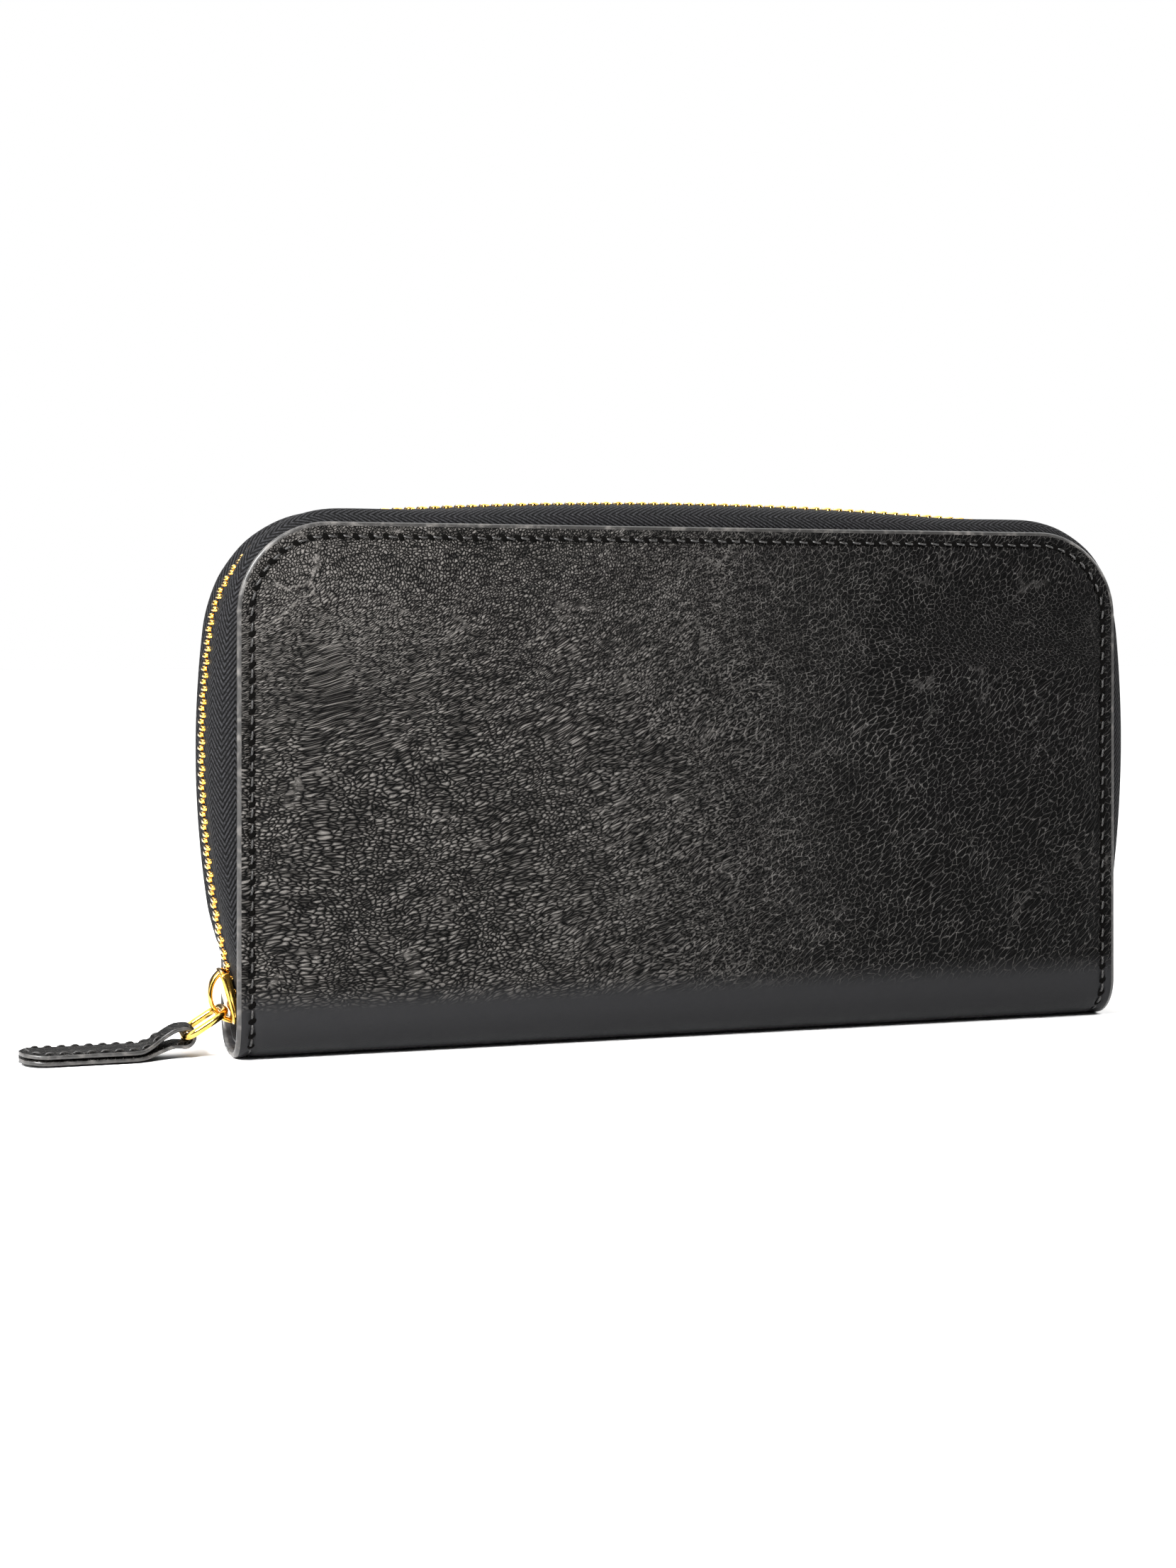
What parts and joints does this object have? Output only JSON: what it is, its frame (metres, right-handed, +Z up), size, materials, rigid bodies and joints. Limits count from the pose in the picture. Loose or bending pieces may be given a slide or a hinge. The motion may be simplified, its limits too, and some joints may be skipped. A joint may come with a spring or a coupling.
{
  "type": "zip around wallet",
  "caption": "Zip around wallet with padded covers on a curved spine, a metal zip with ring and leather pull, card slots, note compartments and a zipped coin pocket.",
  "frame": {"origin": "centre of the spine's flat underside, on which the wallet stands", "axes": "+X along the spine, away from the end where the closed slider sits; -Y out of the front cover; +Z up from the spine to the zip along the top"},
  "size_m": [0.2362, 0.0264, 0.1107],
  "materials": {
    "cover_leather": "glazed, fine grained black leather",
    "inner_leather": "smooth black split leather",
    "lining_cloth": "dark grey woven lining",
    "foam": "thin open foam padding",
    "fibreboard": "pressed fibre stiffening board",
    "zip_tape": "black herringbone twill tape",
    "gold_plate": "polished gold plating"
  },
  "bodies": {
    "root": {"spine_leather": "cover_leather", "spine_reinforcement": "fibreboard", "spine_lining": "lining_cloth", "coin_front_panel": "inner_leather", "coin_rear_panel": "inner_leather", "coin_side_strip": "inner_leather", "coin_front_tape": "zip_tape", "coin_rear_tape": "zip_tape", "coin_front_teeth": "gold_plate", "coin_rear_teeth": "gold_plate", "coin_end_stops": "gold_plate", "gusset_front_left": "inner_leather", "gusset_front_right": "inner_leather", "gusset_rear_left": "inner_leather", "gusset_rear_right": "inner_leather", "zip_bottom_stop": "gold_plate"},
    "front_half": {"front_cover": "cover_leather", "front_padding": "foam", "front_board": "fibreboard", "front_lining": "lining_cloth", "front_card_slot_1": "inner_leather", "front_card_slot_2": "inner_leather", "front_card_slot_3": "inner_leather", "front_zip_tape": "zip_tape", "front_tape_ends": "zip_tape", "front_zip_teeth": "gold_plate", "front_top_stop": "gold_plate"},
    "rear_half": {"rear_cover": "cover_leather", "rear_padding": "foam", "rear_board": "fibreboard", "rear_lining": "lining_cloth", "rear_card_slot_1": "inner_leather", "rear_card_slot_2": "inner_leather", "rear_card_slot_3": "inner_leather", "rear_zip_tape": "zip_tape", "rear_tape_ends": "zip_tape", "rear_zip_teeth": "gold_plate", "rear_top_stop": "gold_plate"},
    "zip_slider": {"slider_body": "gold_plate", "slider_bridge": "gold_plate"},
    "ring": {"pull_ring": "gold_plate"},
    "tab": {"pull_tab": "cover_leather"},
    "coin_slide": {"coin_slider": "gold_plate"},
    "coin_pull": {"coin_puller": "gold_plate"}
  },
  "joints": [
    {"name": "front_cover_open", "type": "hinge", "parent": "root", "child": "front_half", "pos_m": [0, -0.012, 0.0085], "axis": [1, 0, 0], "range_deg": [0, 45], "deforming": ["gusset_front_left", "gusset_front_right", "front_tape_ends", "rear_tape_ends", "front_zip_teeth", "rear_zip_teeth", "front_top_stop", "rear_top_stop"]},
    {"name": "rear_cover_open", "type": "hinge", "parent": "root", "child": "rear_half", "pos_m": [0, 0.012, 0.0085], "axis": [-1, 0, 0], "range_deg": [0, 45], "deforming": ["gusset_rear_left", "gusset_rear_right", "front_tape_ends", "rear_tape_ends", "front_zip_teeth", "rear_zip_teeth", "front_top_stop", "rear_top_stop"]},
    {"name": "slider_run", "type": "hinge", "parent": "rear_half", "child": "zip_slider", "pos_m": [0.0863, 0, 0.06], "axis": [0, 1, 0], "range_deg": [0, 20], "deforming": ["front_tape_ends", "rear_tape_ends", "front_zip_teeth", "rear_zip_teeth", "front_top_stop", "rear_top_stop"]},
    {"name": "ring_swing", "type": "hinge", "parent": "zip_slider", "child": "ring", "pos_m": [-0.09612, 0, 0.009], "axis": [0, 1, 0], "range_deg": [-45, 60]},
    {"name": "tab_swing", "type": "hinge", "parent": "ring", "child": "tab", "pos_m": [-0.10383, 0, 0.00417], "axis": [0, 1, 0], "range_deg": [-75, 30]},
    {"name": "coin_slider_run", "type": "slide", "parent": "root", "child": "coin_slide", "axis": [1, 0, 0], "range_m": [0, 0.148], "deforming": ["coin_front_teeth", "coin_rear_teeth"]},
    {"name": "coin_puller_swing", "type": "hinge", "parent": "coin_slide", "child": "coin_pull", "pos_m": [-0.0735, 0, 0.08915], "axis": [0, -1, 0], "range_deg": [0, 170]}
  ]
}
